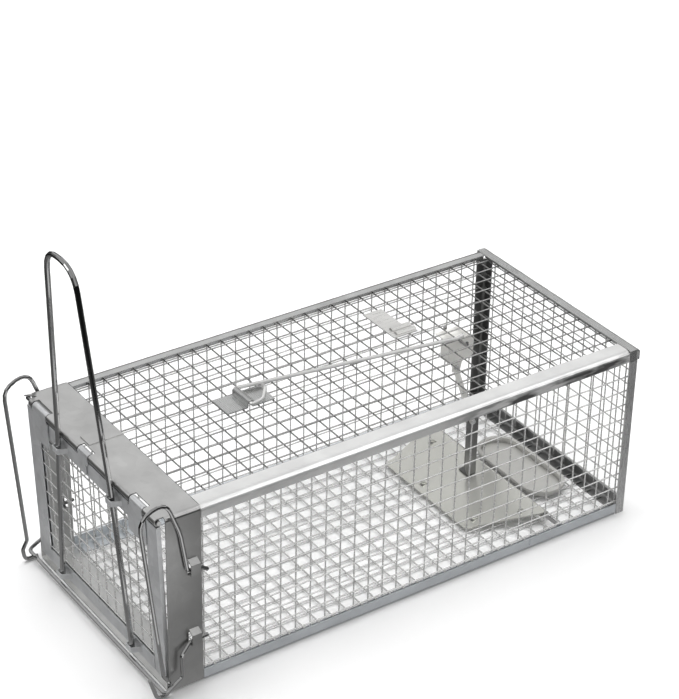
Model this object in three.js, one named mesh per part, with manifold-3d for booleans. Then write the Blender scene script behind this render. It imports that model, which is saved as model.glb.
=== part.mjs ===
// A wire-mesh live catch trap: galvanised sheet collar and corner rails around
// welded mesh, a top-hung door with a U-shaped setting handle, a trigger rod on
// the roof, and a floor pedal that works the rod's catch through a link.
// Millimetres, +Z up. Inside the cage group x runs back from the door end.

import * as THREE from 'three';
import { mergeVertices } from 'three/addons/utils/BufferGeometryUtils.js';
import Module from 'manifold-3d';

const wasm = await Module();
wasm.setup();

// ---- driving dimensions ------------------------------------------------

const cageLength = 268;
const cageWidth = 124;
const cageHeight = 96;
const frontX = -126.9;            // the door end, so that the whole box is centred
const halfWidth = cageWidth / 2;
const sheet = 0.6;                // rails and collar
const thinSheet = 0.5;            // door frame
const gap = 0.3;                  // between pieces that touch
const bendRadius = 2;             // outside radius of a folded corner
const topRailBend = 3.2;          // the top rails are folded more softly

const meshBar = 1;                // stand-in bars, see below
const meshBarWidth = 1.6;
const meshPitch = 24;             // one bar for every third real wire
const doorMeshBar = 0.8;

const collarDepth = 17.8;
const railTopFlange = 9.5;
const railFarFlange = 6.5;
const railSideFlange = 6;
const railBottomFlange = 8;
const postFlange = 6;

const hingeX = -2.6;
const hingeZ = 94;
const hingeWireRadius = 1.1;
const hemRadius = 1.7;            // middle of the curled sheet
const cornerTip = 3.4;            // the far end of the hem, left flat as a point
const doorLean = THREE.MathUtils.degToRad(-2.1);
const doorHalfWidth = 60;
const doorTop = -2.85;            // below the hinge axis, in the door's own frame
const doorBottom = -88.3;
const doorThickness = 2.2;
const stileWidth = 10;
const doorTopRail = 8.2;
const doorBottomRail = 7.2;

const handleRadius = 1.3;
const handleReach = 105;          // from the hinge axis to the top of the U
const handleStandOff = 3.6;
const handleLean = 2.8;           // how far the U's top leans further forward
const handleHalfTop = 12.6;
const handleSplay = 0.11;         // half-width gained for each mm down

const latchRadius = 0.95;
const latchPlane = halfWidth + 0.4 + latchRadius;
const upperEarZ = 66;
const lowerEarZ = 27.5;
const earX = 13;
const earWidth = 4.8;
const earHeight = 8.4;
const earBulge = 3.25;
const bailX = -4.6;
const bailZ = 4.2;
const bailOut = 66;

const rodRadius = 0.95;
const rodPivotX = 79.5;
const rodPivotZ = 97.9;
const clipMiddleY = 2.2;
const clipWidth = 13.5;

const pedalPivotX = 226.5;
const pedalPivotZ = 5;
const pedalPivotRadius = 1;
const pedalFrontX = 187;
const pedalFrontZ = 3;
const pedalFrontHalf = 34.3;
const pedalRearHalf = 48.5;
const pedalSheet = 0.8;
const pedalTabs = [{ x: 195, y: -31 }, { x: 192.5, y: 8.5 }, { x: 217.5, y: -41 }, { x: 217.5, y: 35 }];

const tray = { x: 244.5, y: -5.5, radius: 11, halfStraight: 17, rim: 1.4, height: 3.4 };

const catchPin = { x: 203, z: 91, radius: 0.8 };
const linkTop = { x: 201, z: 77 };
const linkFoot = { x: 214, z: 40 };
const rivetRadius = 0.7;
const rivetHole = 1;

// ---- materials ---------------------------------------------------------

const galvanised = new THREE.MeshStandardMaterial({ color: 0xb4b5b3, roughness: 0.42, metalness: 0.9 });
const darkGalvanised = new THREE.MeshStandardMaterial({ color: 0x8a8b8b, roughness: 0.45, metalness: 0.9 });
const meshSteel = new THREE.MeshStandardMaterial({ color: 0xc8c9c9, roughness: 0.35, metalness: 0.9 });
const brightWire = new THREE.MeshStandardMaterial({ color: 0xc4c6c8, roughness: 0.15, metalness: 1 });
const pedalSteel = new THREE.MeshStandardMaterial({ color: 0xc6c6c0, roughness: 0.3, metalness: 0.9 });

// ---- shape helpers -----------------------------------------------------

function arcPoints(cx, cy, radius, fromDegrees, toDegrees, steps) {
  return Array.from({ length: steps + 1 }, (_, i) => {
    const angle = THREE.MathUtils.degToRad(fromDegrees + ((toDegrees - fromDegrees) * i) / steps);
    return new THREE.Vector2(cx + radius * Math.cos(angle), cy + radius * Math.sin(angle));
  });
}

// The outline of a bent strip of sheet whose middle follows the given points.
function stripShape(middle, thickness) {
  const left = [];
  const right = [];
  middle.forEach((point, i) => {
    const before = middle[Math.max(i - 1, 0)];
    const after = middle[Math.min(i + 1, middle.length - 1)];
    const incoming = (i > 0 ? point.clone().sub(before) : after.clone().sub(point)).normalize();
    const outgoing = (i < middle.length - 1 ? after.clone().sub(point) : incoming.clone()).normalize();
    const across = new THREE.Vector2(-incoming.y - outgoing.y, incoming.x + outgoing.x).normalize();
    const reach = thickness / 2 / (across.x * -incoming.y + across.y * incoming.x);
    left.push(point.clone().addScaledVector(across, reach));
    right.push(point.clone().addScaledVector(across, -reach));
  });
  return new THREE.Shape([...right, ...left.reverse()]);
}

function points(...pairs) {
  return pairs.map(([x, y]) => new THREE.Vector2(x, y));
}

// An L of folded sheet with its outside corner at the origin, one flange along +u, one along +v.
function angleShape(flangeU, flangeV, thickness, radius = bendRadius) {
  const inset = thickness / 2;
  const corner = arcPoints(radius, radius, radius - inset, 180, 270, 6);
  return stripShape([...points([inset, flangeV]), ...corner, ...points([flangeU, inset])], thickness);
}

function roundedRectangle(halfU, lowV, highV, radius) {
  return [
    ...arcPoints(halfU - radius, lowV + radius, radius, -90, 0, 4),
    ...arcPoints(halfU - radius, highV - radius, radius, 0, 90, 4),
    ...arcPoints(-halfU + radius, highV - radius, radius, 90, 180, 4),
    ...arcPoints(-halfU + radius, lowV + radius, radius, 180, 270, 4),
  ];
}

const axisX = new THREE.Vector3(1, 0, 0);
const axisY = new THREE.Vector3(0, 1, 0);
const axisZ = new THREE.Vector3(0, 0, 1);

// Geometry drawn in u, v and w, turned so that u is y, v is z and w is x from x0.
function facingX(geometry, x0) {
  const turn = new THREE.Matrix4().makeBasis(axisY, axisZ, axisX).setPosition(x0, 0, 0);
  return geometry.clone().applyMatrix4(turn);
}

// Turned so that u is x, v is z and w runs from y1 towards the near side.
function facingY(geometry, y1) {
  const turn = new THREE.Matrix4().makeBasis(axisX, axisZ, axisY.clone().negate()).setPosition(0, y1, 0);
  return geometry.clone().applyMatrix4(turn);
}

function extrude(shape, depth) {
  return new THREE.ExtrudeGeometry(shape, { depth, bevelEnabled: false, curveSegments: 8 });
}

// A profile drawn in y and z, run from x0 to x1.
function alongX(shape, x0, x1) {
  return facingX(extrude(shape, x1 - x0), x0);
}

// A profile drawn in x and z, run from y0 to y1.
function alongY(shape, y0, y1) {
  return facingY(extrude(shape, y1 - y0), y1);
}

// A profile drawn in x and y, run from z0 to z1.
function alongZ(shape, z0, z1) {
  return extrude(shape, z1 - z0).translate(0, 0, z0);
}

function block(x0, x1, y0, y1, z0, z1) {
  const geometry = new THREE.BoxGeometry(x1 - x0, y1 - y0, z1 - z0);
  return geometry.translate((x0 + x1) / 2, (y0 + y1) / 2, (z0 + z1) / 2);
}

function disc(x, z, radius, y0, y1) {
  return new THREE.CylinderGeometry(radius, radius, y1 - y0, 16).translate(x, (y0 + y1) / 2, z);
}

function toSolid(geometry) {
  const bare = geometry.clone();
  bare.deleteAttribute('normal');
  bare.deleteAttribute('uv');
  const merged = mergeVertices(bare, 1e-4);
  const vertProperties = new Float32Array(merged.attributes.position.array);
  const triVerts = new Uint32Array(merged.index.array);
  return new wasm.Manifold(new wasm.Mesh({ numProp: 3, vertProperties, triVerts }));
}

function fromSolid(solid) {
  const mesh = solid.getMesh();
  const geometry = new THREE.BufferGeometry();
  geometry.setAttribute('position', new THREE.BufferAttribute(mesh.vertProperties, 3));
  geometry.setIndex(new THREE.BufferAttribute(mesh.triVerts, 1));
  geometry.computeVertexNormals();
  return geometry;
}

function join(...geometries) {
  return fromSolid(geometries.map(toSolid).reduce((all, solid) => all.add(solid)));
}

function cut(geometry, ...cutters) {
  return fromSolid(cutters.map(toSolid).reduce((rest, solid) => rest.subtract(solid), toSolid(geometry)));
}

// ---- wire --------------------------------------------------------------

// A route through exactly the stations given, with one tube section at each.
class StationPath extends THREE.Curve {
  constructor(stations) {
    super();
    this.stations = stations;
  }

  getPoint(t, target = new THREE.Vector3()) {
    const last = this.stations.length - 1;
    const index = Math.min(Math.round(t * last), last);
    return target.copy(this.stations[index]);
  }

  getPointAt(u, target) {
    return this.getPoint(u, target);
  }

  getTangentAt(u, target = new THREE.Vector3()) {
    const last = this.stations.length - 1;
    const index = Math.min(Math.round(u * last), last);
    const here = this.stations[index];
    const incoming = here.clone().sub(this.stations[Math.max(index - 1, 0)]).normalize();
    const outgoing = this.stations[Math.min(index + 1, last)].clone().sub(here).normalize();
    return target.copy(incoming).add(outgoing).normalize();
  }
}

// Corners are [x, y, z, bend radius]; each corner becomes a smooth bend.
function bentStations(corners) {
  const spots = corners.map(([x, y, z]) => new THREE.Vector3(x, y, z));
  const stations = [spots[0]];
  for (let i = 1; i < spots.length - 1; i += 1) {
    const toBefore = spots[i - 1].clone().sub(spots[i]);
    const toAfter = spots[i + 1].clone().sub(spots[i]);
    const turn = Math.PI - toBefore.angleTo(toAfter);
    const room = 0.48 * Math.min(toBefore.length(), toAfter.length());
    const trim = Math.min(corners[i][3] * Math.tan(turn / 2), room);
    const start = spots[i].clone().addScaledVector(toBefore.normalize(), trim);
    const end = spots[i].clone().addScaledVector(toAfter.normalize(), trim);
    const steps = Math.max(1, Math.ceil(turn / THREE.MathUtils.degToRad(20)));
    stations.push(...new THREE.QuadraticBezierCurve3(start, spots[i], end).getPoints(steps));
  }
  stations.push(spots[spots.length - 1]);
  return stations;
}

function wire(corners, radius, sides = 10) {
  const stations = bentStations(corners);
  const section = new THREE.Shape(arcPoints(0, 0, radius, 0, 360 - 360 / sides, sides - 1));
  return new THREE.ExtrudeGeometry(section, {
    steps: stations.length - 1,
    extrudePath: new StationPath(stations),
    bevelEnabled: false,
  });
}

// ---- mesh panels -------------------------------------------------------

// A grille drawn in u and v and standing on the plane w = 0: a layer of bars along v,
// and a layer along u sunk a little way into it.
function grille(u0, u1, v0, v1, thickness) {
  const columns = Math.round((u1 - u0) / meshPitch);
  const rows = Math.round((v1 - v0) / meshPitch);
  const stepU = (u1 - u0 - meshBarWidth) / columns;
  const stepV = (v1 - v0 - meshBarWidth) / rows;
  const layer = 0.6 * thickness;
  const bars = [];
  for (let i = 0; i <= columns; i += 1) {
    bars.push(block(u0 + i * stepU, u0 + i * stepU + meshBarWidth, v0, v1, 0, layer));
  }
  for (let j = 0; j <= rows; j += 1) {
    bars.push(block(u0, u1, v0 + j * stepV, v0 + j * stepV + meshBarWidth, thickness - layer, thickness));
  }
  return join(...bars);
}

const panelFront = collarDepth + gap;
const panelRear = cageLength - sheet - gap;
const panelSide = halfWidth - sheet - gap;
const panelTop = cageHeight - sheet - gap;
const panelFloor = sheet + gap;
const panelInset = 1.9;           // keeps a panel's edge out of the rails' inside bends

function meshPanels() {
  const innerHalf = halfWidth - sheet - panelInset;
  const lowZ = panelFloor + meshBar + gap;
  const highZ = panelTop - meshBar - 2 * gap;
  const innerRear = panelRear - meshBar - gap;
  const flat = grille(panelFront, panelRear - panelInset, -innerHalf, innerHalf, meshBar);
  const side = grille(panelFront, innerRear, lowZ, highZ, meshBar);
  const rear = grille(-innerHalf, innerHalf, lowZ, highZ, meshBar);
  return [
    piece('top_mesh', flat.clone().translate(0, 0, panelTop - meshBar), meshSteel),
    piece('floor_mesh', flat.clone().translate(0, 0, panelFloor), meshSteel),
    piece('near_mesh', facingY(side, -panelSide + meshBar), meshSteel),
    piece('far_mesh', facingY(side, panelSide), meshSteel),
    piece('rear_mesh', facingX(rear, panelRear - meshBar), meshSteel),
  ];
}

// ---- rails -------------------------------------------------------------

function turned(shapePoints, quarterTurns, u, v) {
  const angle = (quarterTurns * Math.PI) / 2;
  return new THREE.Shape(shapePoints.getPoints().map((point) => {
    const spun = point.clone().rotateAround(new THREE.Vector2(), angle);
    return spun.add(new THREE.Vector2(u, v));
  }));
}

function longRails() {
  const start = collarDepth + gap;
  const end = cageLength - postFlange - gap;
  const nearAngle = angleShape(railSideFlange, railTopFlange, sheet, topRailBend);
  const farAngle = angleShape(railFarFlange, railSideFlange, sheet, topRailBend);
  const topNear = turned(nearAngle, -1, -halfWidth, cageHeight);
  const topFar = turned(farAngle, 2, halfWidth, cageHeight);
  const lowNear = turned(angleShape(railBottomFlange, railSideFlange, sheet), 0, -halfWidth, 0);
  const seamX = 206;
  const seam = block(seamX, seamX + 0.6, -halfWidth - 1, -halfWidth + 1, 2.4, railSideFlange + 1);
  const lowFar = turned(angleShape(railSideFlange, railBottomFlange, sheet), 1, halfWidth, 0);
  return [
    piece('near_top_rail', alongX(topNear, start, end), galvanised),
    piece('far_top_rail', alongX(topFar, start, end), galvanised),
    piece('near_bottom_rail', cut(alongX(lowNear, start, end), seam), darkGalvanised),
    piece('far_bottom_rail', alongX(lowFar, start, end), darkGalvanised),
  ];
}

function rearFrame() {
  const topProfile = turned(angleShape(postFlange, railSideFlange, sheet), 2, cageLength, cageHeight);
  const tab = (y0, y1) => block(
    cageLength - postFlange, cageLength - bendRadius, y0, y1, cageHeight - railSideFlange, cageHeight - 0.1,
  );
  const topRail = join(
    alongY(topProfile, -halfWidth, halfWidth),
    tab(-halfWidth, -halfWidth + sheet),
    tab(halfWidth - sheet, halfWidth),
  );
  const betweenPosts = halfWidth - postFlange - gap;
  const lowProfile = turned(angleShape(railSideFlange, postFlange, sheet), 1, cageLength, 0);
  const postTop = cageHeight - railSideFlange - gap;
  const nearPost = turned(angleShape(postFlange, postFlange, sheet), 1, cageLength, -halfWidth);
  const farPost = turned(angleShape(postFlange, postFlange, sheet), 2, cageLength, halfWidth);
  return [
    piece('rear_top_rail', topRail, galvanised),
    piece('rear_bottom_rail', alongY(lowProfile, -betweenPosts, betweenPosts), darkGalvanised),
    piece('rear_near_post', alongZ(nearPost, 0, postTop), galvanised),
    piece('rear_far_post', alongZ(farPost, 0, postTop), darkGalvanised),
  ];
}

// ---- front collar and hinge --------------------------------------------

const knuckles = [
  { name: 'near', middle: -43.5, width: 11, leaf: 15, drop: 17 },
  { name: 'middle', middle: 4.5, width: 9, leaf: 5, drop: 10 },
  { name: 'far', middle: 46.5, width: 13, leaf: 15, drop: 17 },
];

function ear(side, middleZ) {
  const low = middleZ - earHeight / 2;
  const high = middleZ + earHeight / 2;
  const slope = 1.6;
  const plate = halfWidth - sheet / 2;
  const strap = points(
    [side * plate, low],
    [side * (plate + earBulge), low + slope],
    [side * (plate + earBulge), high - slope],
    [side * plate, high],
  );
  const path = side > 0 ? strap : strap.reverse();
  return alongX(stripShape(path, sheet), earX - earWidth / 2, earX + earWidth / 2);
}

function earWindow(side, middleZ) {
  const reach = earHeight / 2 - 1.2;
  const inside = side * (halfWidth - 2);
  const outside = side * (halfWidth + 0.2);
  return block(
    earX - earWidth / 2 - 0.2, earX + earWidth / 2 + 0.2,
    Math.min(inside, outside), Math.max(inside, outside),
    middleZ - reach, middleZ + reach,
  );
}

function frontCollar() {
  const band = new THREE.Shape(roundedRectangle(halfWidth, 0, cageHeight, bendRadius));
  const innerBand = roundedRectangle(halfWidth - sheet, sheet, cageHeight - sheet, bendRadius - sheet);
  band.holes.push(new THREE.Path(innerBand.reverse()));
  const plateZ = cageHeight - sheet / 2;
  const hem = stripShape(
    [...points([1, plateZ]), ...arcPoints(hingeX, hingeZ, hemRadius, 90, 290, 12)],
    sheet,
  );
  const tip = new THREE.Shape(points([1, halfWidth - 6], [1, halfWidth - 2.1], [-4.4, halfWidth - 0.9]));
  const lap = block(0.4, collarDepth, 6.5, 15, cageHeight - 0.1, cageHeight + 0.5);
  const sides = [-1, 1];
  const heights = [upperEarZ, lowerEarZ];
  const windows = sides.flatMap((side) => heights.map((z) => earWindow(side, z)));
  const ears = sides.flatMap((side) => heights.map((z) => ear(side, z)));
  const slots = knuckles.map(({ middle, width }) => block(
    hingeX - 4, hingeX + 2.2, middle - width / 2 - 0.6, middle + width / 2 + 0.6, hingeZ - 3, cageHeight + 1,
  ));
  const sheetBody = join(
    alongX(band, 0, collarDepth),
    alongY(hem, -halfWidth + bendRadius, halfWidth - bendRadius - cornerTip),
    alongZ(tip, cageHeight - sheet, cageHeight),
    lap,
  );
  const pierced = cut(sheetBody, ...windows, ...slots);
  return [piece('front_collar', join(pierced, ...ears), galvanised)];
}

function hingeWire() {
  const reach = halfWidth - 1;
  const ends = [[hingeX, -reach, hingeZ], [hingeX, reach, hingeZ]];
  return [piece('hinge_wire', wire(ends, hingeWireRadius), brightWire)];
}

// ---- door, drawn about the hinge axis and then leaned ------------------

const doorFace = doorThickness / 2;

// A channel folded over the mesh's edge, its two lips turned in to grip: depth along v, thickness along u.
function channel(depth) {
  const middle = doorFace - thinSheet / 2;
  const lip = doorMeshBar / 2 + 0.1 + thinSheet / 2;
  const side = points([lip, depth], [middle, depth - 1], [middle, thinSheet / 2]);
  return [...side, ...side.map(({ x, y }) => new THREE.Vector2(-x, y)).reverse()];
}

function legY(z) {
  return handleHalfTop + handleSplay * (handleReach - z);
}

// A strap pushed out of a door rail, which holds one leg of the handle.
function beltLoop(middleY, middleZ) {
  const reach = handleStandOff + handleRadius + gap + thinSheet / 2;
  const face = doorFace - thinSheet / 2;
  const strap = points(
    [-face, middleY - 4.4],
    [-reach, middleY - 2.2],
    [-reach, middleY + 2.2],
    [-face, middleY + 4.4],
  );
  return alongZ(stripShape(strap.reverse(), thinSheet), middleZ - 1.4, middleZ + 1.4);
}

function doorRail(name, edge, direction, depth, loopZ) {
  const reach = doorHalfWidth - stileWidth - gap;
  const profile = channel(depth).map((point) => new THREE.Vector2(point.x, edge + direction * point.y));
  const ordered = direction > 0 ? profile : profile.reverse();
  const loops = [-1, 1].map((side) => beltLoop(side * legY(loopZ), loopZ));
  const body = join(alongY(stripShape(ordered, thinSheet), -reach, reach), ...loops);
  return piece(name, body, darkGalvanised);
}

function doorStile(name, side) {
  const profile = channel(stileWidth).map(
    (point) => new THREE.Vector2(point.x, side * (doorHalfWidth - point.y)),
  );
  const ordered = side > 0 ? profile.reverse() : profile;
  return piece(name, alongZ(stripShape(ordered, thinSheet), doorBottom, doorTop), darkGalvanised);
}

function hingeLeaf({ name, middle, width, leaf, drop }) {
  const plane = -hemRadius + 0.05;
  const curl = arcPoints(0, 0, -plane, 180, -60, 12);
  const knuckle = stripShape([...points([plane, -4]), ...curl], thinSheet);
  const plate = stripShape(points([plane, -drop], [plane, -2.8]), thinSheet);
  const joined = join(
    alongY(knuckle, middle - width / 2, middle + width / 2),
    alongY(plate, middle - leaf / 2, middle + leaf / 2),
  );
  return piece(`door_${name}_hinge_leaf`, joined, galvanised);
}

function doorMesh() {
  const reach = doorHalfWidth - 1.5;
  const bars = grille(-reach, reach, doorBottom + 1.2, doorTop - 1.2, doorMeshBar);
  return piece('door_mesh', facingX(bars, -doorMeshBar / 2), meshSteel);
}

function doorHandle() {
  const foot = doorBottom + 1.3;
  const leanedX = -handleStandOff - handleLean;
  const route = [
    [-handleStandOff, -legY(foot), foot, 0],
    [-handleStandOff, -legY(0), 0, 30],
    [leanedX, -handleHalfTop, handleReach, 12.5],
    [leanedX, handleHalfTop, handleReach, 12.5],
    [-handleStandOff, legY(0), 0, 30],
    [-handleStandOff, legY(foot), foot, 0],
  ];
  return piece('door_handle', wire(route, handleRadius, 12), brightWire);
}

function door() {
  const group = new THREE.Group();
  group.position.set(hingeX, 0, hingeZ);
  group.rotation.y = doorLean;
  group.add(
    doorStile('door_near_stile', -1),
    doorStile('door_far_stile', 1),
    doorRail('door_top_rail', doorTop, -1, doorTopRail, doorTop - 4.6),
    doorRail('door_bottom_rail', doorBottom, 1, doorBottomRail, doorBottom + 3.8),
    doorMesh(),
    doorHandle(),
    ...knuckles.map(hingeLeaf),
  );
  return group;
}

// ---- bail and its two springs ------------------------------------------

function bailWire() {
  const arm = (side) => [
    [19.6, side * latchPlane, lowerEarZ - 0.9, 0],
    [10.2, side * latchPlane, lowerEarZ - 1.5, 2.5],
    [4.9, side * (latchPlane + 1.2), 21, 3],
    [4.9, side * (bailOut - 0.6), 10, 2.5],
    [bailX, side * bailOut, bailZ, 2.2],
  ];
  const route = [...arm(-1), ...arm(1).reverse()];
  return [piece('bail_wire', wire(route, latchRadius), brightWire)];
}

function latchSpring(name, side, hook) {
  const y = side * latchPlane;
  const spring = [
    [19.8, 62.6, 0],
    [15.8, 65.5, 1.5],
    [9.8, 65.5, 1.6],
    [6.4, 87, 20],
    [-0.6, 106, 9],
    [-13.9, 101, 9],
  ];
  const route = [...spring, ...hook].map(([x, z, radius]) => [x, y, z, radius]);
  return piece(name, wire(route, latchRadius), brightWire);
}

function latchSprings() {
  const nearHook = [[-3.9, 12.5, 4], [-0.9, 7.6, 2.5], [-1.4, 1.25, 3], [-7.4, 1.25, 3], [-10.9, 13.2, 0]];
  const farHook = [[-6.6, 12.2, 3], [-9.3, 7.4, 2.5], [-8.2, 1.25, 3], [-1.4, 1.25, 0]];
  return [
    latchSpring('near_latch_spring', -1, nearHook),
    latchSpring('far_latch_spring', 1, farHook),
  ];
}

// ---- roof: rod clip, trigger rod, anchor plate -------------------------

function rodClip() {
  const plateZ = cageHeight - sheet / 2;
  const half = clipWidth / 2;
  const profile = stripShape([
    ...points([67, plateZ], [rodPivotX - 1.5, plateZ]),
    ...arcPoints(rodPivotX, rodPivotZ, 1.5, 200, -20, 10),
    ...points([rodPivotX + 1.5, plateZ], [93, plateZ]),
  ], sheet);
  return piece('rod_clip', alongY(profile, clipMiddleY - half, clipMiddleY + half), galvanised);
}

function triggerRod() {
  const nearEnd = clipMiddleY - clipWidth / 2 - 1.6;
  const farEnd = clipMiddleY + clipWidth / 2 + 1.6;
  const route = [
    [91.6, 4.2, 99.4, 0],
    [89.5, -1.5, 101.2, 4],
    [85, -6.8, 99.4, 4],
    [rodPivotX, nearEnd, rodPivotZ, 2],
    [rodPivotX, farEnd, rodPivotZ, 2],
    [192, -6.2, 96.8, 20],
    [197, -7, 96.6, 3],
    [201, -7.2, 97.6, 0],
  ];
  return piece('trigger_rod', wire(route, rodRadius), brightWire);
}

function anchorPlate() {
  const plateZ = cageHeight - sheet / 2;
  const bead = 1.3;
  const beadPath = [
    ...points([20.4, plateZ]),
    ...arcPoints(17.8, plateZ, bead, 0, 180, 8),
    ...arcPoints(13.6, plateZ, bead, 0, 180, 8),
    ...points([11, plateZ]),
  ];
  const body = join(
    block(172.5, 183.5, 19.8, 38, cageHeight - sheet, cageHeight),
    block(172.5, 175.6, 11, 20, cageHeight - sheet, cageHeight),
    alongX(stripShape(beadPath.reverse(), sheet), 175.2, 186.5),
  );
  return piece('top_anchor_plate', body, galvanised);
}

// ---- catch, link, pedal ------------------------------------------------

const catchPlane = [-3, -2.4];
const linkPlane = [-2, -1.4];
const postPlane = [-1, -0.2];

function triggerCatch() {
  const face = new THREE.Shape(points(
    [195.5, 92.6], [195.5, 81], [198.6, 79.5], [198.6, 74.6],
    [203.4, 74.6], [204.4, 79.5], [211, 81.4], [211, 92.6],
  ));
  const [y0, y1] = catchPlane;
  const body = join(
    alongY(face, y0, y1),
    block(195.5, 196.1, y0 + 0.1, 3.4, 81, 92.6),
    block(195.6, 209.6, y0 + 0.1, 8.4, 92.05, 92.6),
  );
  const bored = cut(
    body,
    disc(catchPin.x, catchPin.z, catchPin.radius + 0.2, y0 - 1, y1 + 1),
    disc(linkTop.x, linkTop.z, rivetHole, y0 - 1, y1 + 1),
  );
  return piece('trigger_catch', bored, galvanised);
}

function catchPinWire() {
  const { x, z, radius } = catchPin;
  const route = [[x, -8, 93.2, 0], [x, -8, z, 1.2], [x, 10.4, z, 1.2], [x, 10.4, 93.2, 0]];
  return piece('catch_pin', wire(route, radius, 8), brightWire);
}

function triggerLink() {
  const along = new THREE.Vector2(linkFoot.x - linkTop.x, linkFoot.z - linkTop.z);
  const heading = THREE.MathUtils.radToDeg(along.angle());
  const half = 1.5;
  const outline = new THREE.Shape([
    ...arcPoints(linkFoot.x, linkFoot.z, half, heading - 90, heading + 90, 6),
    ...arcPoints(linkTop.x, linkTop.z, half, heading + 90, heading + 270, 6),
  ]);
  const [y0, y1] = linkPlane;
  const body = cut(
    alongY(outline, y0, y1),
    disc(linkTop.x, linkTop.z, rivetHole, y0 - 1, y1 + 1),
    disc(linkFoot.x, linkFoot.z, rivetHole, y0 - 1, y1 + 1),
  );
  return piece('trigger_link', body, galvanised);
}

// A rivet across two plates, with a head outside each.
function rivet(name, at, lowY, highY) {
  const head = 0.7;
  const body = join(
    disc(at.x, at.z, rivetRadius, lowY - gap - head / 2, highY + gap + head / 2),
    disc(at.x, at.z, rivetRadius * 1.8, lowY - gap - head, lowY - gap),
    disc(at.x, at.z, rivetRadius * 1.8, highY + gap, highY + gap + head),
  );
  return piece(name, body, darkGalvanised);
}

function pedalPost() {
  const foot = new THREE.Shape(points([213.4, 6.2], [218.6, 6.7], [218.6, 7.3], [213.4, 6.8]));
  const outline = new THREE.Shape([
    ...points([213.4, 6.7], [218.6, 7.2]),
    ...arcPoints(216.8, 40.8, 1.8, 0, 90, 4),
    ...arcPoints(213.2, 40.8, 1.8, 90, 180, 4),
    ...points([211.4, 12]),
  ]);
  const [y0, y1] = postPlane;
  const body = cut(
    join(alongY(outline, y0, y1), alongY(foot, y0 + 0.1, 6.5)),
    disc(linkFoot.x, linkFoot.z, rivetHole, y0 - 1, y1 + 1),
  );
  return piece('pedal_post', body, darkGalvanised);
}

// A tongue punched up out of the plate, and the hole it leaves, both on the plate's slope.
function pedalTab({ x, y }, slope) {
  const half = 0.9;
  const tongue = stripShape(points([2.6, -0.1], [1.4, 0.2], [-1.4, 1.7]), 0.6);
  const settle = (geometry) => geometry.rotateY(-slope).translate(
    x, y, pedalFrontZ + (x - pedalFrontX) * Math.tan(slope),
  );
  return {
    tongue: settle(alongY(tongue, -half, half)),
    hole: settle(block(-2.2, 1.8, -half - 0.3, half + 0.3, -2, 2)),
  };
}

function pedalPlate() {
  const hemMiddle = pedalPivotRadius + gap + pedalSheet / 2;
  const curl = arcPoints(pedalPivotX, pedalPivotZ, hemMiddle, 96, -140, 12);
  const profile = stripShape([...points([pedalFrontX, pedalFrontZ]), ...curl], pedalSheet);
  const slope = Math.atan2(curl[0].y - pedalFrontZ, curl[0].x - pedalFrontX);
  const tabs = pedalTabs.map((place) => pedalTab(place, slope));
  const rearX = pedalPivotX + 3;
  const plan = new THREE.Shape([
    ...points([rearX, -pedalRearHalf]),
    ...points([rearX, pedalRearHalf], [pedalPivotX - 2, pedalRearHalf]),
    ...arcPoints(pedalFrontX + 4, pedalFrontHalf - 2, 4, 70, 180, 4),
    ...arcPoints(pedalFrontX + 4, -pedalFrontHalf + 2, 4, 180, 290, 4),
    ...points([pedalPivotX - 2, -pedalRearHalf]),
  ]);
  const wide = toSolid(alongY(profile, -pedalRearHalf, pedalRearHalf));
  const trimmed = fromSolid(wide.intersect(toSolid(alongZ(plan, -5, 20))));
  const pierced = cut(trimmed, ...tabs.map(({ hole }) => hole));
  return piece('pedal_plate', join(pierced, ...tabs.map(({ tongue }) => tongue)), pedalSteel);
}

function pedalPivotWire() {
  const reach = halfWidth - sheet - gap - meshBar - gap;
  const ends = [[pedalPivotX, -reach, pedalPivotZ], [pedalPivotX, reach, pedalPivotZ]];
  return piece('pedal_pivot_wire', wire(ends, pedalPivotRadius), brightWire);
}

function stadium(radius, halfStraight) {
  return [
    ...arcPoints(0, halfStraight, radius, 0, 180, 12),
    ...arcPoints(0, -halfStraight, radius, 180, 360, 12),
  ];
}

// A pressed dish whose rim is turned down at its edge.
function baitTray() {
  const floor = panelFloor + meshBar + gap;
  const top = floor + tray.height;
  const outline = (growth) => new THREE.Shape(stadium(tray.radius + growth, tray.halfStraight));
  const lip = cut(
    alongZ(outline(tray.rim), top - 1.2, top - 0.1),
    alongZ(outline(tray.rim - sheet), top - 2, top + 1),
  );
  const body = cut(
    join(alongZ(outline(0), floor, top), alongZ(outline(tray.rim - 0.2), top - sheet, top), lip),
    alongZ(outline(-sheet), floor + sheet, top + 1),
  );
  return piece('bait_tray', body.translate(tray.x, tray.y, 0), pedalSteel);
}

// ---- assembly ----------------------------------------------------------

function piece(name, geometry, material) {
  const mesh = new THREE.Mesh(geometry, material);
  mesh.name = name;
  return mesh;
}

const cage = new THREE.Group();
cage.position.x = frontX;
cage.add(
  ...frontCollar(),
  ...hingeWire(),
  ...longRails(),
  ...rearFrame(),
  ...meshPanels(),
  door(),
  ...bailWire(),
  ...latchSprings(),
  rodClip(),
  triggerRod(),
  anchorPlate(),
  catchPinWire(),
  triggerCatch(),
  rivet('catch_rivet', linkTop, catchPlane[0], linkPlane[1]),
  triggerLink(),
  pedalPost(),
  rivet('post_rivet', linkFoot, linkPlane[0], postPlane[1]),
  pedalPlate(),
  pedalPivotWire(),
  baitTray(),
);

const trap = new THREE.Group();
trap.add(cage);

export default trap;
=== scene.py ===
"""Looks for a wire-mesh live catch trap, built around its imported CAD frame.

Metres, +Z up. The door end is at -X, the long side nearest the camera at -Y.
"""

import math
import random

import bmesh
import bpy
from mathutils import Matrix, Vector

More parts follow.
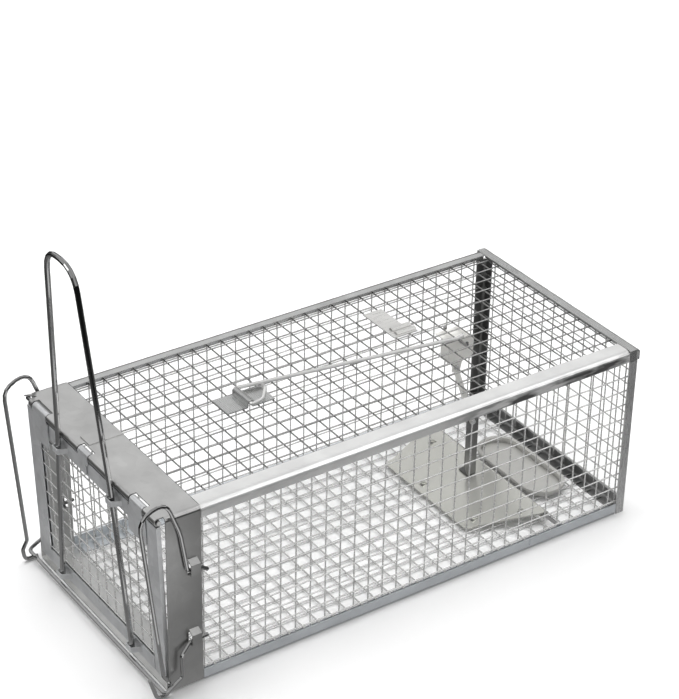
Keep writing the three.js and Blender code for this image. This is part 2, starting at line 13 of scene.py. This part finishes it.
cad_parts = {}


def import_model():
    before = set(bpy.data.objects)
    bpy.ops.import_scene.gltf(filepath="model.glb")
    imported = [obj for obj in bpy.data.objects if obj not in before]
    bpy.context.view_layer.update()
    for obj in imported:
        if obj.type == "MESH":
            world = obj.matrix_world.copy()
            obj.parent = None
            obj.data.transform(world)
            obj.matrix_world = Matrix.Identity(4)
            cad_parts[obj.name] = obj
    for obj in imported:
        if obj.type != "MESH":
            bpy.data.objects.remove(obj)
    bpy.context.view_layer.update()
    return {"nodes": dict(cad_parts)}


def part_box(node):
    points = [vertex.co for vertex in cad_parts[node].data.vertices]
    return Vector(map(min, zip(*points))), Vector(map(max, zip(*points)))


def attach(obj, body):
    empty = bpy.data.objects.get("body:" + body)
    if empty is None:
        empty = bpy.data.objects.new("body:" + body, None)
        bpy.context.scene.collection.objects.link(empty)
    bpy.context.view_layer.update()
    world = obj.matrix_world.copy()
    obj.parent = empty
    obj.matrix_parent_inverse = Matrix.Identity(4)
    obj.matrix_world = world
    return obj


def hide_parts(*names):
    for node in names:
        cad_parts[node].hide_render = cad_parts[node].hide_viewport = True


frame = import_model()
nodes = frame["nodes"]

MM = 0.001

# ---- driving dimensions ------------------------------------------------

WIRE = 0.74 * MM                # welded mesh wire, diameter
PITCH = 8.2 * MM                # between mesh wires
EDGE = 0.6 * MM                 # from a panel's edge to its outermost wire
WELD_SINK = 0.12 * MM           # how far the crossing wires melt into each other
WELD_SIZE = 0.52                # radius of a weld bead, in wire diameters
WIRE_SIDES = 8
WANDER = 0.12 * MM              # how far a mesh wire strays from straight
WELD_FLARE = 1.12               # how far a weld bead spreads in the panel's plane
WELD_SLICES = 6
EDGE_SOFTENING = 0.12 * MM      # bevel on the edges of the CAD pieces
CAGE_LENGTH = 268 * MM
CAGE_HEIGHT = 96 * MM
CAGE_HALF_WIDTH = 62 * MM
REAR_INSET = 0.9 * MM           # from the cage's rear end to the rear mesh
DOOR_LEAN = math.radians(2.1)
DOOR_SEED = 6

CLOUD_SCALE = 55                # slow mottling of the zinc
SPANGLE_SCALE = 230             # its crystals
GRAIN_SCALE = 30                # fine lines from rolling or drawing
WAVE_SCALE = 28                 # shallow dents
WAVE_DEPTH = 2 * MM
SCRATCH_DEPTH = 0.01 * MM
CORNER_SHADE_REACH = 3 * MM            # how far the painted shade reaches out of a corner
SMEAR_STRETCH = (60, 25, 260)   # how fast the smears change along X, Y and Z
SMEAR_STRENGTH = 0.85
UPRIGHT_BELOW = 0.25            # height of the normal where a face counts as upright,
LEVEL_ABOVE = 0.9               # and where it counts as level

FLOOR_REACH = 6                 # half the side of the studio floor, metres
GREY_CARD_DROP = 1 * MM         # the grey card lies this far under the floor
CARD_REACH = 300 * MM           # from the trap's sides to where the grey card is darkest
CARD_TONES = [(0.0, 0.34), (0.2, 0.18), (0.5, 0.13), (1.0, 0.01)]

FLOOR_GLOW_FROM = 0.45          # metres from the trap's middle to where the floor starts to glow,
FLOOR_GLOW_FULL = 1.5           # and to where it glows fully, so that it stays white far off
FLOOR_GLOW = 0.7
BACKDROP_RADIUS = 5.5           # stands on the floor, inside its edge
BACKDROP_HEIGHT = 6
BACKDROP_SIDES = 64
WHITE_CARD_HALF_WIDTH = 0.06
WHITE_CARD_LENGTH = 0.8
WHITE_CARD_OFFSET = 0.16        # from the trap's middle to the card's near end
WHITE_CARD_GLOW = 0.8
SKY_TONES = [(0.0, 0.10), (0.25, 0.07), (0.42, 0.5), (0.55, 0.8), (0.7, 0.6), (1.0, 0.45)]
SKY_LOW = -0.1                  # height of a ray's direction where the sky's tones start
SKY_STRENGTH = 0.9

VIEW_AZIMUTH = math.radians(-34.67)
VIEW_ELEVATION = math.radians(30.70)
VIEW_ROLL = 0.0193
VIEW_DISTANCE = 1.1096
VIEW_LENS = 116.76
VIEW_RISE = 50.8 * MM           # the aim, above the cage's middle in the picture
VIEW_SIDE = -0.4 * MM


# ---- materials ---------------------------------------------------------

ALONG_X = (4, 120, 120)
ALONG_Y = (120, 4, 120)
ALONG_Z = (120, 120, 4)


def node_tree(name):
    """A new material with its nodes and links."""
    material = bpy.data.materials.new(name)
    material.use_nodes = True
    return material, material.node_tree.nodes, material.node_tree.links


def ramp(tree_nodes, stops):
    """A colour ramp through the stops, each a position with a grey or a colour."""
    made = tree_nodes.new("ShaderNodeValToRGB")
    elements = made.color_ramp.elements
    while len(elements) < len(stops):
        elements.new(0.5)
    for element, (position, value) in zip(elements, stops):
        element.position = position
        element.color = (*value, 1) if isinstance(value, tuple) else (value, value, value, 1)
    return made


def upright_share(tree_nodes, links, level=0.0, upright=1.0):
    """One value on level faces, going over to another on upright ones."""
    normal = tree_nodes.new("ShaderNodeTexCoord").outputs["Normal"]
    parts = tree_nodes.new("ShaderNodeSeparateXYZ")
    links.new(normal, parts.inputs["Vector"])
    size = tree_nodes.new("ShaderNodeMath")
    size.operation = "ABSOLUTE"
    links.new(parts.outputs["Z"], size.inputs[0])
    tone = tree_nodes.new("ShaderNodeMapRange")
    tone.inputs["From Min"].default_value = UPRIGHT_BELOW
    tone.inputs["From Max"].default_value = LEVEL_ABOVE
    tone.inputs["To Min"].default_value = upright
    tone.inputs["To Max"].default_value = level
    links.new(size.outputs["Value"], tone.inputs["Value"])
    return tone.outputs["Result"]


def scaled(tree_nodes, links, colour, amount):
    """The colour times the amount."""
    product = tree_nodes.new("ShaderNodeVectorMath")
    product.operation = "SCALE"
    links.new(colour, product.inputs[0])
    links.new(amount, product.inputs["Scale"])
    return product.outputs["Vector"]


def smudge(tree_nodes, links, place, clean_x, dirty_x):
    """One where the sheet is clean; on upright faces, dark smears come in from clean_x to dirty_x."""
    parts = tree_nodes.new("ShaderNodeSeparateXYZ")
    links.new(place, parts.inputs["Vector"])
    onset = tree_nodes.new("ShaderNodeMapRange")
    onset.inputs["From Min"].default_value = clean_x
    onset.inputs["From Max"].default_value = dirty_x
    onset.inputs["To Min"].default_value = 0.0
    onset.inputs["To Max"].default_value = SMEAR_STRENGTH
    links.new(parts.outputs["X"], onset.inputs["Value"])
    stretch = tree_nodes.new("ShaderNodeMapping")
    stretch.inputs["Scale"].default_value = SMEAR_STRETCH
    links.new(place, stretch.inputs["Vector"])
    smears = tree_nodes.new("ShaderNodeTexNoise")
    smears.inputs["Scale"].default_value = 1.0
    smears.inputs["Detail"].default_value = 3
    links.new(stretch.outputs["Vector"], smears.inputs["Vector"])
    dark = ramp(tree_nodes, [(0.38, 0.0), (0.58, 1.0)])
    links.new(smears.outputs["Fac"], dark.inputs["Fac"])
    amount = tree_nodes.new("ShaderNodeMath")
    amount.operation = "MULTIPLY"
    links.new(dark.outputs["Color"], amount.inputs[0])
    links.new(onset.outputs["Result"], amount.inputs[1])
    upright = tree_nodes.new("ShaderNodeMath")
    upright.operation = "MULTIPLY"
    links.new(amount.outputs["Value"], upright.inputs[0])
    links.new(upright_share(tree_nodes, links), upright.inputs[1])
    kept = tree_nodes.new("ShaderNodeMath")
    kept.operation = "SUBTRACT"
    kept.inputs[0].default_value = 1.0
    links.new(upright.outputs["Value"], kept.inputs[1])
    return kept.outputs["Value"]


def steel(
    name, tint, roughness, mottle=0.12, spangle=0.0, grain=ALONG_X, bump=0.15, corner_shade=0.35,
    upright_shade=1.0, metal=1.0, smeared=None, wear=0.14,
):
    """Zinc-coated steel: slow mottling, optional spangle, fine grain and painted shade in the corners.

    A factor below one for upright faces paints shade onto them, smeared gives where smears start and are
    full, wear varies the gloss.
    """
    material, tree_nodes, links = node_tree(name)
    shader = tree_nodes["Principled BSDF"]
    shader.inputs["Metallic"].default_value = metal
    place = tree_nodes.new("ShaderNodeTexCoord").outputs["Object"]

    cloud = tree_nodes.new("ShaderNodeTexNoise")
    cloud.inputs["Scale"].default_value = CLOUD_SCALE
    cloud.inputs["Detail"].default_value = 4
    links.new(place, cloud.inputs["Vector"])
    low = tuple(c * (1 - mottle) for c in tint)
    high = tuple(min(1, c * (1 + mottle * 0.6)) for c in tint)
    shade = ramp(tree_nodes, [(0.3, low), (0.7, high)])
    links.new(cloud.outputs["Fac"], shade.inputs["Fac"])
    colour = shade.outputs["Color"]

    cells = tree_nodes.new("ShaderNodeTexVoronoi")
    cells.inputs["Scale"].default_value = SPANGLE_SCALE
    links.new(place, cells.inputs["Vector"])
    cell_shade = tree_nodes.new("ShaderNodeSeparateColor")
    links.new(cells.outputs["Color"], cell_shade.inputs["Color"])
    flake = tree_nodes.new("ShaderNodeMapRange")
    flake.inputs["To Min"].default_value = 1 - spangle
    flake.inputs["To Max"].default_value = 1
    links.new(cell_shade.outputs["Red"], flake.inputs["Value"])
    colour = scaled(tree_nodes, links, colour, flake.outputs["Result"])
    # painted shade: upright faces are darkened against level ones
    if upright_shade < 1:
        colour = scaled(tree_nodes, links, colour, upright_share(tree_nodes, links, level=1.0, upright=upright_shade))
    if smeared:
        colour = scaled(tree_nodes, links, colour, smudge(tree_nodes, links, place, *smeared))

    # painted shade: an occlusion mask darkens the colour in corners and between parts
    corner = tree_nodes.new("ShaderNodeAmbientOcclusion")
    corner.inputs["Distance"].default_value = CORNER_SHADE_REACH
    corner.samples = 4
    corner_shade_ramp = ramp(tree_nodes, [(0.25, 1 - corner_shade), (0.8, 1.0)])
    links.new(corner.outputs["AO"], corner_shade_ramp.inputs["Fac"])
    corner_shaded = tree_nodes.new("ShaderNodeVectorMath")
    corner_shaded.operation = "MULTIPLY"
    links.new(colour, corner_shaded.inputs[0])
    links.new(corner_shade_ramp.outputs["Color"], corner_shaded.inputs[1])
    links.new(corner_shaded.outputs["Vector"], shader.inputs["Base Color"])

    stretch = tree_nodes.new("ShaderNodeMapping")
    stretch.inputs["Scale"].default_value = grain
    links.new(place, stretch.inputs["Vector"])
    lines = tree_nodes.new("ShaderNodeTexNoise")
    lines.inputs["Scale"].default_value = GRAIN_SCALE
    lines.inputs["Detail"].default_value = 6
    links.new(stretch.outputs["Vector"], lines.inputs["Vector"])
    rough = tree_nodes.new("ShaderNodeMapRange")
    rough.inputs["From Min"].default_value = 0.3
    rough.inputs["From Max"].default_value = 0.7
    rough.inputs["To Min"].default_value = roughness * (1 - wear)
    rough.inputs["To Max"].default_value = roughness * (1 + wear)
    links.new(lines.outputs["Fac"], rough.inputs["Value"])
    links.new(rough.outputs["Result"], shader.inputs["Roughness"])

    waves = tree_nodes.new("ShaderNodeTexNoise")
    waves.inputs["Scale"].default_value = WAVE_SCALE
    waves.inputs["Detail"].default_value = 1
    links.new(place, waves.inputs["Vector"])
    dents = tree_nodes.new("ShaderNodeBump")
    dents.inputs["Strength"].default_value = bump
    dents.inputs["Distance"].default_value = WAVE_DEPTH
    links.new(waves.outputs["Fac"], dents.inputs["Height"])
    scratches = tree_nodes.new("ShaderNodeBump")
    scratches.inputs["Strength"].default_value = bump
    scratches.inputs["Distance"].default_value = SCRATCH_DEPTH
    links.new(lines.outputs["Fac"], scratches.inputs["Height"])
    links.new(dents.outputs["Normal"], scratches.inputs["Normal"])
    links.new(scratches.outputs["Normal"], shader.inputs["Normal"])
    return material


# the collar's upright faces get painted shade, about a third darker than its top
collar_sheet = steel(
    "collar_sheet", (0.88, 0.88, 0.87), 0.33, spangle=0.05, grain=ALONG_Y, upright_shade=0.66,
)
sheet_x = steel(
    "galvanised_sheet_x", (0.82, 0.825, 0.82), 0.22, spangle=0.06, grain=ALONG_X, bump=0.25,
)
near_rail = steel(
    "near_rail_sheet", (0.80, 0.80, 0.795), 0.2, grain=ALONG_X, bump=0.3, metal=0.55,
    smeared=(20 * MM, 55 * MM),
)
sheet_y = steel("galvanised_sheet_y", (0.78, 0.785, 0.78), 0.28, spangle=0.06, grain=ALONG_Y)
sheet_z = steel(
    "galvanised_sheet_z", (0.80, 0.80, 0.80), 0.28, spangle=0.06, grain=ALONG_Z, metal=0.85,
)
catch_sheet = steel("catch_sheet", (0.86, 0.85, 0.82), 0.32, mottle=0.10, grain=ALONG_Z, metal=0.3)
anchor_sheet = steel(
    "anchor_sheet", (0.66, 0.655, 0.64), 0.30, mottle=0.10, grain=ALONG_X, metal=0.55,
)
dark_post = steel("dark_galvanised_sheet", (0.26, 0.26, 0.26), 0.4, mottle=0.35, grain=ALONG_Z)
rear_rail = steel("rear_rail_sheet", (0.44, 0.44, 0.44), 0.36, mottle=0.4, grain=ALONG_Y)
low_rail = steel(
    "pale_galvanised_sheet", (0.72, 0.75, 0.78), 0.34, mottle=0.08, grain=ALONG_X, metal=0.55,
)
dull_sheet = steel(
    "dull_galvanised_sheet", (0.82, 0.83, 0.84), 0.32, mottle=0.14, spangle=0.10, grain=ALONG_Z,
    metal=0.75,
)
# painted shade: the roof's wires are the same wire as the other panels' but get a much darker tint, toning
# down the bright sky they reflect
shaded_roof_wire = steel("shaded_roof_mesh_wire", (0.50, 0.50, 0.495), 0.24, mottle=0.10, bump=0.0, corner_shade=0.3)
door_wire = steel("door_mesh_wire", (0.86, 0.86, 0.85), 0.26, mottle=0.08, bump=0.0, metal=0.7)
mesh_wire = steel(
    "welded_mesh_wire", (0.86, 0.86, 0.85), 0.26, mottle=0.10, bump=0.0, metal=0.7, corner_shade=0.2,
)
bright_wire = steel("bright_wire", (0.52, 0.52, 0.52), 0.07, mottle=0.1, bump=0.05, corner_shade=0.25)
rod_wire = steel(
    "rod_wire", (0.86, 0.86, 0.85), 0.24, mottle=0.08, bump=0.04, metal=0.6, corner_shade=0.25,
)
pedal_steel = steel(
    "pedal_steel", (0.79, 0.79, 0.74), 0.20, mottle=0.04, bump=0.0, metal=0.72, wear=0.04,
)
tray_steel = steel(
    "tray_steel", (0.66, 0.655, 0.63), 0.30, mottle=0.05, bump=0.0, metal=0.6, corner_shade=0.55, wear=0.04,
)


# ---- helpers -----------------------------------------------------------

def shade_smooth(data):
    data.polygons.foreach_set("use_smooth", [True] * len(data.polygons))


def new_piece(name, vertices, faces, body, material):
    """A smooth piece that rides on a body."""
    data = bpy.data.meshes.new(name)
    data.from_pydata(vertices, [], faces)
    data.validate()
    data.materials.append(material)
    shade_smooth(data)
    piece = bpy.data.objects.new(name, data)
    bpy.context.scene.collection.objects.link(piece)
    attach(piece, body)
    return piece


def tube_rings(path, radius, sides, across, upward):
    """Rings of vertices round a nearly straight path whose section lies along across and upward."""
    rings = []
    for point in path:
        for k in range(sides):
            angle = 2 * math.pi * k / sides
            rings.append(point + radius * (math.cos(angle) * across + math.sin(angle) * upward))
    return rings


def add_tube(vertices, faces, path, radius, sides, across, upward):
    """A closed tube along the path."""
    start = len(vertices)
    vertices.extend(tube_rings(path, radius, sides, across, upward))
    for i in range(len(path) - 1):
        for k in range(sides):
            here = start + i * sides + k
            beside = start + i * sides + (k + 1) % sides
            faces.append((here, beside, beside + sides, here + sides))
    faces.append(tuple(start + k for k in reversed(range(sides))))
    last = start + (len(path) - 1) * sides
    faces.append(tuple(last + k for k in range(sides)))


def add_weld(vertices, faces, centre, along_u, along_v, through, radius):
    """A small flattened bead where two wires cross."""
    start = len(vertices)
    slices = WELD_SLICES
    upper, lower, tip = start + 1, start + 1 + slices, start + 1 + 2 * slices
    vertices.append(centre + through * radius)
    for height in (0.5, -0.5):
        ring = math.sqrt(1 - height * height) * radius * WELD_FLARE
        for k in range(slices):
            angle = 2 * math.pi * k / slices
            vertices.append(
                centre + through * radius * height
                + ring * (math.cos(angle) * along_u + math.sin(angle) * along_v)
            )
    vertices.append(centre - through * radius)
    for k in range(slices):
        after = (k + 1) % slices
        faces.append((start, upper + k, upper + after))
        faces.append((upper + k, lower + k, lower + after, upper + after))
        faces.append((tip, lower + after, lower + k))


def wire_places(one_wire, length):
    """Every place a pitch apart from one_wire that lies on a panel of this length."""
    first = (one_wire - EDGE) % PITCH + EDGE
    count = int((length - EDGE - first) / PITCH) + 1
    return [first + PITCH * i for i in range(count)]


def welded_panel(name, corner, axes, size, one_wire, body, seed, node, finish):
    """A panel of welded wires. Wires along u lie on the outer side, wires along v on the inner."""
    chance = random.Random(seed)
    vertices, faces = [], []
    u_axis, v_axis, out_axis = axes
    u_length, v_length = size
    us = wire_places(one_wire[0], u_length)
    vs = wire_places(one_wire[1], v_length)
    radius = WIRE / 2
    rise = radius - WELD_SINK / 2
    u_shift = {v: chance.uniform(-WANDER, WANDER) for v in vs}
    v_shift = {u: chance.uniform(-WANDER, WANDER) for u in us}

    def stray():
        return chance.uniform(-WANDER, WANDER) * 0.5

    for v in vs:
        stations = [0, *us, u_length]
        path = [
            corner + u_axis * u + v_axis * (v + u_shift[v] + stray()) + out_axis * (rise + stray() * 0.3)
            for u in stations
        ]
        add_tube(vertices, faces, path, radius, WIRE_SIDES, v_axis, out_axis)
    for u in us:
        stations = [0, *vs, v_length]
        path = [
            corner + v_axis * v + u_axis * (u + v_shift[u] + stray()) + out_axis * (-rise + stray() * 0.3)
            for v in stations
        ]
        add_tube(vertices, faces, path, radius, WIRE_SIDES, u_axis, out_axis)
    for u in us:
        for v in vs:
            centre = corner + u_axis * (u + v_shift[u]) + v_axis * (v + u_shift[v])
            add_weld(vertices, faces, centre, u_axis, v_axis, out_axis, WIRE * WELD_SIZE)
    piece = new_piece(name, vertices, faces, body, finish)
    rebuild = bmesh.new()
    rebuild.from_mesh(piece.data)
    bmesh.ops.recalc_face_normals(rebuild, faces=rebuild.faces)
    rebuild.to_mesh(piece.data)
    rebuild.free()
    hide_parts(node)
    return piece


X = Vector((1, 0, 0))
Y = Vector((0, 1, 0))
Z = Vector((0, 0, 1))


def mesh_panels():
    """The five panels of the cage, each in the place of its CAD grille, with one known wire each way."""
    door_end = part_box("rear_mesh")[1].x - (CAGE_LENGTH - REAR_INSET)
    panels = (
        ("welded_top", "top_mesh", (X, Y, Z), (27.1 * MM, -46.9 * MM)),
        ("welded_floor", "floor_mesh", (X, Y, -Z), (27.1 * MM, -46.9 * MM)),
        ("welded_near_side", "near_mesh", (X, Z, -Y), (27.6 * MM, 7.6 * MM)),
        ("welded_far_side", "far_mesh", (X, Z, Y), (29.4 * MM, 7.6 * MM)),
        ("welded_rear", "rear_mesh", (Y, Z, X), (-46.9 * MM, 7.6 * MM)),
    )
    for seed, (name, node, axes, wires) in enumerate(panels, start=1):
        low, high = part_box(node)
        u_axis, v_axis, out_axis = axes
        corner = low + (high - low).dot(Vector(map(abs, out_axis))) / 2 * Vector(map(abs, out_axis))
        start = door_end if u_axis == X else 0
        one_wire = (start + wires[0] - corner.dot(u_axis), wires[1] - corner.dot(v_axis))
        size = ((high - low).dot(u_axis), (high - low).dot(v_axis))
        # the roof panel takes the wire finish with painted shade
        finish = shaded_roof_wire if node == "top_mesh" else mesh_wire
        welded_panel(name, corner, axes, size, one_wire, "cage", seed, node, finish)


def door_panel():
    """The door's mesh leans with the door."""
    low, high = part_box("door_mesh")
    lean = DOOR_LEAN
    upward = Vector((-math.sin(lean), 0, math.cos(lean)))
    out = Vector((-math.cos(lean), 0, -math.sin(lean)))
    height = (high.z - low.z) / math.cos(lean)
    corner = Vector((high.x - WIRE / 2, low.y, low.z))
    one_wire = (-45.4 * MM - low.y, 71.6 * MM - low.z)
    size = (high.y - low.y, height)
    axes = (Y, upward, out)
    welded_panel(
        "welded_door", corner, axes, size, one_wire, "door", DOOR_SEED, "door_mesh", door_wire,
    )


FINISH_GROUPS = (
    (collar_sheet, ("front_collar",)),
    (near_rail, ("near_top_rail",)),
    (sheet_x, ("far_top_rail",)),
    (sheet_y, ("rear_top_rail", "rod_clip")),
    (sheet_z, ("rear_near_post",)),
    (low_rail, ("near_bottom_rail", "far_bottom_rail")),
    (rear_rail, ("rear_bottom_rail",)),
    (dark_post, ("rear_far_post", "pedal_post")),
    (catch_sheet, ("trigger_link", "trigger_catch")),
    (anchor_sheet, ("top_anchor_plate",)),
    (rod_wire, ("trigger_rod",)),
    (pedal_steel, ("pedal_plate",)),
    (tray_steel, ("bait_tray",)),
    (dull_sheet, (
        "door_near_stile", "door_far_stile", "door_top_rail", "door_bottom_rail",
        "door_near_hinge_leaf", "door_middle_hinge_leaf", "door_far_hinge_leaf",
        "catch_rivet", "post_rivet",
    )),
    (bright_wire, (
        "hinge_wire", "door_handle", "bail_wire", "near_latch_spring", "far_latch_spring",
        "catch_pin", "pedal_pivot_wire",
    )),
)


def finish_nodes():
    """Smooth shading, softened edges and a finish for each CAD node that is shown as it is."""
    finishes = {name: finish for finish, names in FINISH_GROUPS for name in names}
    for name, node in nodes.items():
        if node.hide_render:
            continue
        node.data.materials.clear()
        node.data.materials.append(finishes.get(name, sheet_x))
        shade_smooth(node.data)
        bevel = node.modifiers.new("soft_edges", "BEVEL")
        bevel.width = EDGE_SOFTENING
        bevel.segments = 2
        bevel.limit_method = "ANGLE"
        bevel.angle_limit = math.radians(40)
        flatten = node.modifiers.new("flat_faces", "WEIGHTED_NORMAL")
        flatten.keep_sharp = True


# ---- studio ------------------------------------------------------------

def sheet_mesh(name, low, high):
    """A level rectangle between two corners."""
    data = bpy.data.meshes.new(name)
    outline = [(low[0], low[1], 0), (high[0], low[1], 0), (high[0], high[1], 0), (low[0], high[1], 0)]
    data.from_pydata(outline, [], [(0, 1, 2, 3)])
    return data


def placed(name, data, material):
    """An object of this mesh and material, in the scene."""
    data.materials.append(material)
    made = bpy.data.objects.new(name, data)
    bpy.context.scene.collection.objects.link(made)
    return made


def seen_only(card, by_camera, by_gloss):
    """Hides a card from every kind of ray but the ones named."""
    card.visible_camera = by_camera
    card.visible_glossy = by_gloss
    card.visible_diffuse = False
    card.visible_transmission = False
    card.visible_shadow = False


def floor():
    """A white floor that diffuse light and the camera see, and polished metal doesn't."""
    data = sheet_mesh("floor", (-FLOOR_REACH, -FLOOR_REACH), (FLOOR_REACH, FLOOR_REACH))
    material, tree_nodes, links = node_tree("studio_floor")
    shader = tree_nodes["Principled BSDF"]
    shader.inputs["Base Color"].default_value = (0.93, 0.93, 0.93, 1)
    shader.inputs["Roughness"].default_value = 0.9
    shader.inputs["Specular IOR Level"].default_value = 0.1
    place = tree_nodes.new("ShaderNodeTexCoord").outputs["Object"]
    distance = tree_nodes.new("ShaderNodeVectorMath")
    distance.operation = "LENGTH"
    links.new(place, distance.inputs[0])
    glow = tree_nodes.new("ShaderNodeMapRange")
    glow.inputs["From Min"].default_value = FLOOR_GLOW_FROM
    glow.inputs["From Max"].default_value = FLOOR_GLOW_FULL
    glow.inputs["To Max"].default_value = FLOOR_GLOW
    links.new(distance.outputs["Value"], glow.inputs["Value"])
    shader.inputs["Emission Color"].default_value = (1, 1, 1, 1)
    links.new(glow.outputs["Result"], shader.inputs["Emission Strength"])
    ground = placed("floor", data, material)
    ground.visible_glossy = False


def backdrop():
    """A white wall round the studio, seen by the camera only, so that low views have no dark horizon."""
    sides = BACKDROP_SIDES
    turns = [2 * math.pi * k / sides for k in range(sides)]
    foot = [(BACKDROP_RADIUS * math.cos(a), BACKDROP_RADIUS * math.sin(a), -1 * MM) for a in turns]
    head = [(x, y, BACKDROP_HEIGHT) for x, y, _ in foot]
    faces = [(k, (k + 1) % sides, sides + (k + 1) % sides, sides + k) for k in range(sides)]
    data = bpy.data.meshes.new("backdrop")
    data.from_pydata(foot + head, [], faces)
    material, tree_nodes, links = node_tree("backdrop")
    material.cycles.emission_sampling = "NONE"
    glow = tree_nodes.new("ShaderNodeEmission")
    links.new(glow.outputs["Emission"], tree_nodes["Material Output"].inputs["Surface"])
    wall = placed("backdrop", data, material)
    seen_only(wall, by_camera=True, by_gloss=False)


def grey_card():
    """What polished faces see below them: a grey card in place of the white floor, paler near the trap."""
    data = sheet_mesh("grey_card", (-FLOOR_REACH, -FLOOR_REACH), (FLOOR_REACH, FLOOR_REACH))
    material, tree_nodes, links = node_tree("grey_card")
    place = tree_nodes.new("ShaderNodeTexCoord").outputs["Object"]
    parts = tree_nodes.new("ShaderNodeSeparateXYZ")
    links.new(place, parts.inputs["Vector"])
    beyond = []
    for axis, half in (("X", CAGE_LENGTH / 2), ("Y", CAGE_HALF_WIDTH)):
        size = tree_nodes.new("ShaderNodeMath")
        size.operation = "ABSOLUTE"
        links.new(parts.outputs[axis], size.inputs[0])
        past = tree_nodes.new("ShaderNodeMath")
        past.operation = "SUBTRACT"
        past.inputs[1].default_value = half
        links.new(size.outputs["Value"], past.inputs[0])
        beyond.append(past.outputs["Value"])
    farther = tree_nodes.new("ShaderNodeMath")
    farther.operation = "MAXIMUM"
    links.new(beyond[0], farther.inputs[0])
    links.new(beyond[1], farther.inputs[1])
    share = tree_nodes.new("ShaderNodeMath")
    share.operation = "DIVIDE"
    share.inputs[1].default_value = CARD_REACH
    links.new(farther.outputs["Value"], share.inputs[0])
    tone = ramp(tree_nodes, CARD_TONES)
    links.new(share.outputs["Value"], tone.inputs["Fac"])
    glow = tree_nodes.new("ShaderNodeEmission")
    links.new(tone.outputs["Color"], glow.inputs["Color"])
    links.new(glow.outputs["Emission"], tree_nodes["Material Output"].inputs["Surface"])
    card = placed("grey_card", data, material)
    card.location.z = -GREY_CARD_DROP
    seen_only(card, by_camera=False, by_gloss=True)


def white_card():
    """A pale card lying in front of the trap, toward the front view, for bright lines down the wires."""
    half = WHITE_CARD_HALF_WIDTH
    data = sheet_mesh("white_card", (-half, 0), (half, WHITE_CARD_LENGTH))
    material, tree_nodes, links = node_tree("white_card")
    glow = tree_nodes.new("ShaderNodeEmission")
    glow.inputs["Strength"].default_value = WHITE_CARD_GLOW
    links.new(glow.outputs["Emission"], tree_nodes["Material Output"].inputs["Surface"])
    card = placed("white_card", data, material)
    toward = Vector((math.sin(VIEW_AZIMUTH), -math.cos(VIEW_AZIMUTH), 0))
    card.location = toward * WHITE_CARD_OFFSET
    card.rotation_euler.z = math.atan2(toward.y, toward.x) - math.pi / 2
    seen_only(card, by_camera=False, by_gloss=True)


def softbox(name, place, aim, width, height, power, reflected=True, diffuse=True):
    """A soft lamp, which can be left out of reflections or out of diffuse light."""
    lamp = bpy.data.lights.new(name, "AREA")
    lamp.shape = "RECTANGLE"
    lamp.size = width
    lamp.size_y = height
    lamp.energy = power
    holder = bpy.data.objects.new(name, lamp)
    holder.location = place
    direction = Vector(aim) - Vector(place)
    holder.rotation_euler = direction.to_track_quat("-Z", "Y").to_euler()
    holder.visible_glossy = reflected
    holder.visible_diffuse = diffuse
    bpy.context.scene.collection.objects.link(holder)


def world():
    """What polished faces see above the floor: a sky in bands, dark low down and brightest halfway up."""
    surroundings = bpy.data.worlds.new("studio")
    bpy.context.scene.world = surroundings
    surroundings.use_nodes = True
    tree_nodes = surroundings.node_tree.nodes
    links = surroundings.node_tree.links
    place = tree_nodes.new("ShaderNodeTexCoord").outputs["Generated"]
    parts = tree_nodes.new("ShaderNodeSeparateXYZ")
    links.new(place, parts.inputs["Vector"])
    height = tree_nodes.new("ShaderNodeMapRange")
    height.inputs["From Min"].default_value = SKY_LOW
    height.inputs["From Max"].default_value = 1.0
    links.new(parts.outputs["Z"], height.inputs["Value"])
    shade = ramp(tree_nodes, SKY_TONES)
    links.new(height.outputs["Result"], shade.inputs["Fac"])
    background = tree_nodes["Background"]
    links.new(shade.outputs["Color"], background.inputs["Color"])
    background.inputs["Strength"].default_value = SKY_STRENGTH


def camera():
    """The camera of the front view."""
    back = Vector((
        math.sin(VIEW_AZIMUTH) * math.cos(VIEW_ELEVATION),
        -math.cos(VIEW_AZIMUTH) * math.cos(VIEW_ELEVATION),
        math.sin(VIEW_ELEVATION),
    ))
    level = Vector((math.cos(VIEW_AZIMUTH), math.sin(VIEW_AZIMUTH), 0))
    upright = back.cross(level)
    right = level * math.cos(VIEW_ROLL) + upright * math.sin(VIEW_ROLL)
    up = upright * math.cos(VIEW_ROLL) - level * math.sin(VIEW_ROLL)
    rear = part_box("rear_mesh")[1].x
    middle = Vector((rear + REAR_INSET - CAGE_LENGTH / 2, 0, CAGE_HEIGHT / 2))
    place = middle + back * VIEW_DISTANCE + up * VIEW_RISE + right * VIEW_SIDE
    lens = bpy.data.cameras.new("camera")
    lens.sensor_fit = "VERTICAL"
    lens.sensor_height = 36
    lens.lens = VIEW_LENS
    lens.clip_start = 0.01
    holder = bpy.data.objects.new("camera", lens)
    axes = Matrix((right, up, back)).transposed().to_4x4()
    holder.matrix_world = Matrix.Translation(place) @ axes
    bpy.context.scene.collection.objects.link(holder)
    bpy.context.scene.camera = holder


def studio():
    bpy.context.scene.view_settings.view_transform = "Standard"
    floor()
    backdrop()
    grey_card()
    white_card()
    world()
    softbox(
        "top_softbox", place=(0.1, 0.35, 1.6), aim=(0, 0, 0),
        width=1.8, height=1.4, power=31, reflected=False,
    )
    softbox(
        "highlight_box", place=(0.75, -0.85, 1.1), aim=(0, 0, 0.05),
        width=0.8, height=0.8, power=3.2, diffuse=False,
    )
    softbox("left_softbox", place=(-1.3, 0.5, 1.0), aim=(0, 0, 0.05), width=0.6, height=0.6, power=2)


camera()
mesh_panels()
door_panel()
finish_nodes()
studio()
